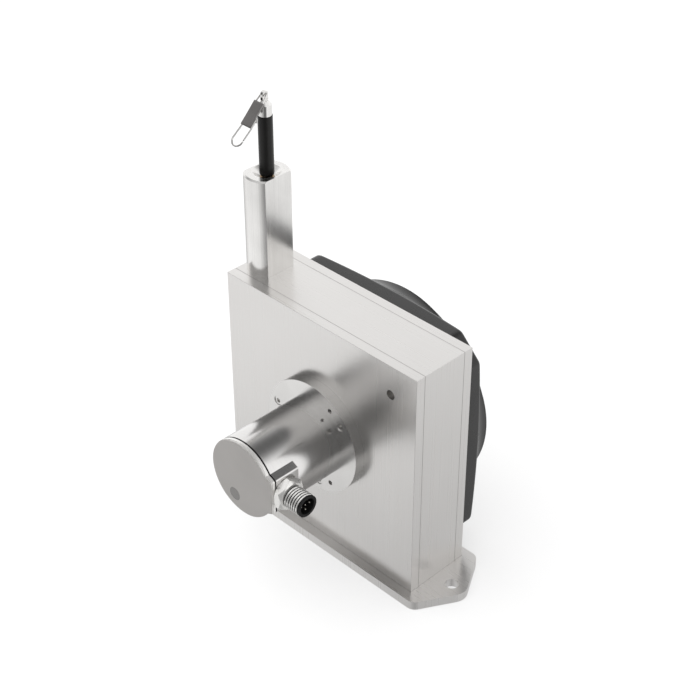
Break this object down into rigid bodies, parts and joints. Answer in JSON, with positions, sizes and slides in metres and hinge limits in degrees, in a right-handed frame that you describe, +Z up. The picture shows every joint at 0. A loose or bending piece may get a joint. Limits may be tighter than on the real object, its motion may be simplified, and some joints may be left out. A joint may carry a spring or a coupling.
{
  "type": "draw wire encoder",
  "caption": "Draw wire encoder: flat sandwich housing with wire drum and spring motor, round encoder with M12 plug, wire outlet tube, bumper and snap hook.",
  "frame": {"origin": "centre of the base plate underside, midway between the two mounting holes", "axes": "+Z up from the base plate along the wire, -Y from the housing towards the encoder, +X towards the plug"},
  "size_m": [0.1676, 0.115, 0.2332],
  "materials": {
    "board": "green circuit board",
    "bronze": "sintered bronze",
    "chrome": "nickel plated",
    "cover": "black moulded plastic with a slight sheen",
    "felt": "felt",
    "gold": "gold plated contacts",
    "insert": "black contact carrier",
    "magnet": "sintered magnet",
    "plate": "satin, brushed upright",
    "rubber": "black rubber",
    "screw": "dark screws",
    "sheet": "dull stainless sheet",
    "spring": "blued spring strip",
    "steel": "bright machined steel",
    "turned": "turned, semi-bright",
    "window": "grey translucent light guide"
  },
  "bodies": {
    "housing": {"base_plate": "plate", "base_screws": "steel", "middle_frame": "plate", "front_plate": "plate", "rear_plate": "plate", "housing_screws": "steel", "outlet_tube": "turned", "guide_bush": "bronze", "wire_wiper": "felt", "front_bearing": "steel", "rear_bearing": "steel", "encoder_flange": "turned", "flange_screws": "steel", "clamp_screws": "screw", "encoder_body": "chrome", "encoder_gasket": "rubber", "encoder_cap": "plate", "led_window": "window", "circuit_board": "board", "plug_shell": "chrome", "plug_seal": "rubber", "plug_insert": "insert", "plug_pins": "gold", "rear_cover": "cover", "cover_screws": "screw", "power_spring": "spring"},
    "drum": {"wire_drum": "turned", "drum_key": "steel", "drum_shaft": "steel", "retaining_ring": "spring", "wound_wire": "steel", "magnet_carrier": "bronze", "magnet": "magnet", "spring_arbor": "steel", "arbor_pin": "steel"},
    "wire_end": {"draw_wire": "steel", "bumper": "rubber", "swivel_barrel": "chrome"},
    "swivel": {"swivel_eye": "chrome"},
    "snap": {"snap_wire": "steel", "snap_sleeve": "sheet"},
    "gate": {"snap_gate": "steel"}
  },
  "joints": [
    {"name": "drum_spin", "type": "hinge", "parent": "housing", "child": "drum", "pos_m": [0.001, 0, 0.072], "axis": [0, 1, 0], "range_deg": [0, 3125]},
    {"name": "wire_pull", "type": "slide", "parent": "housing", "child": "wire_end", "axis": [0, 0, 1], "range_m": [0, 3], "deforming": ["draw_wire"]},
    {"name": "swivel_spin", "type": "hinge", "parent": "wire_end", "child": "swivel", "pos_m": [-0.054, 0, 0.2282], "axis": [0, 0, 1], "continuous": true},
    {"name": "snap_swing", "type": "hinge", "parent": "swivel", "child": "snap", "pos_m": [-0.054, 0, 0.2314], "axis": [-1, 0, 0], "range_deg": [0, 270]},
    {"name": "snap_gate_open", "type": "hinge", "parent": "snap", "child": "gate", "pos_m": [-0.0506, -0.01688, 0.21452], "axis": [0, 0.7071, -0.7071], "range_deg": [0, 30], "stiffness_Nm_per_rad": 0.002, "springref_deg": -11.46}
  ],
  "couplings": [
    {"joint": "wire_pull", "follows": "drum_spin", "m_per_rad": 0.055}
  ]
}
